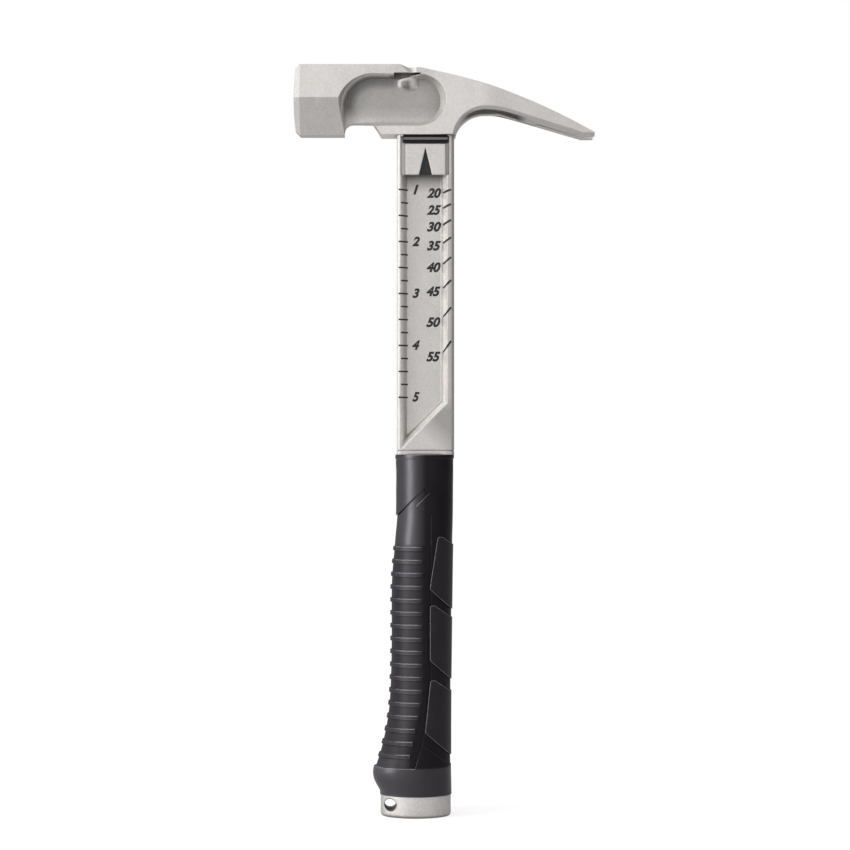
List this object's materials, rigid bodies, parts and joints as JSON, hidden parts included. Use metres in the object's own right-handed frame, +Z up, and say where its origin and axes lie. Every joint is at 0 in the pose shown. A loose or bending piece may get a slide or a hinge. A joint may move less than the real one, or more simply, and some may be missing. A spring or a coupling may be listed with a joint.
{
  "type": "framing hammer",
  "caption": "Framing hammer with a nearly straight nail claw, a nail puller and nail starter in the head, a pocketed metal handle and a ribbed rubber grip.",
  "frame": {"origin": "where the centre line of the handle meets the flat end of the butt cap", "axes": "+Z up the handle towards the head, +X towards the claw, +Y across the handle, the tool being the same on both sides of the XZ plane"},
  "size_m": [0.1474, 0.0324, 0.3683],
  "materials": {
    "cast_titanium": "investment cast and bead blasted, satin",
    "magnet_steel": "nickel plated, satin",
    "neck_rubber": "moulded, matt",
    "spacer_steel": "stamped, satin",
    "grip_rubber": "moulded, fine grain, matt",
    "panel_rubber": "moulded, soft, matt"
  },
  "bodies": {
    "root": {"head": "cast_titanium", "nail_magnet": "magnet_steel", "neck_pad_upper": "neck_rubber", "neck_spacer": "spacer_steel", "neck_pad_lower": "neck_rubber", "handle": "cast_titanium", "grip_sleeve": "grip_rubber", "grip_panel_upper": "panel_rubber", "grip_panel_middle": "panel_rubber", "grip_panel_lower": "panel_rubber", "butt_cap": "cast_titanium"}
  },
  "joints": []
}
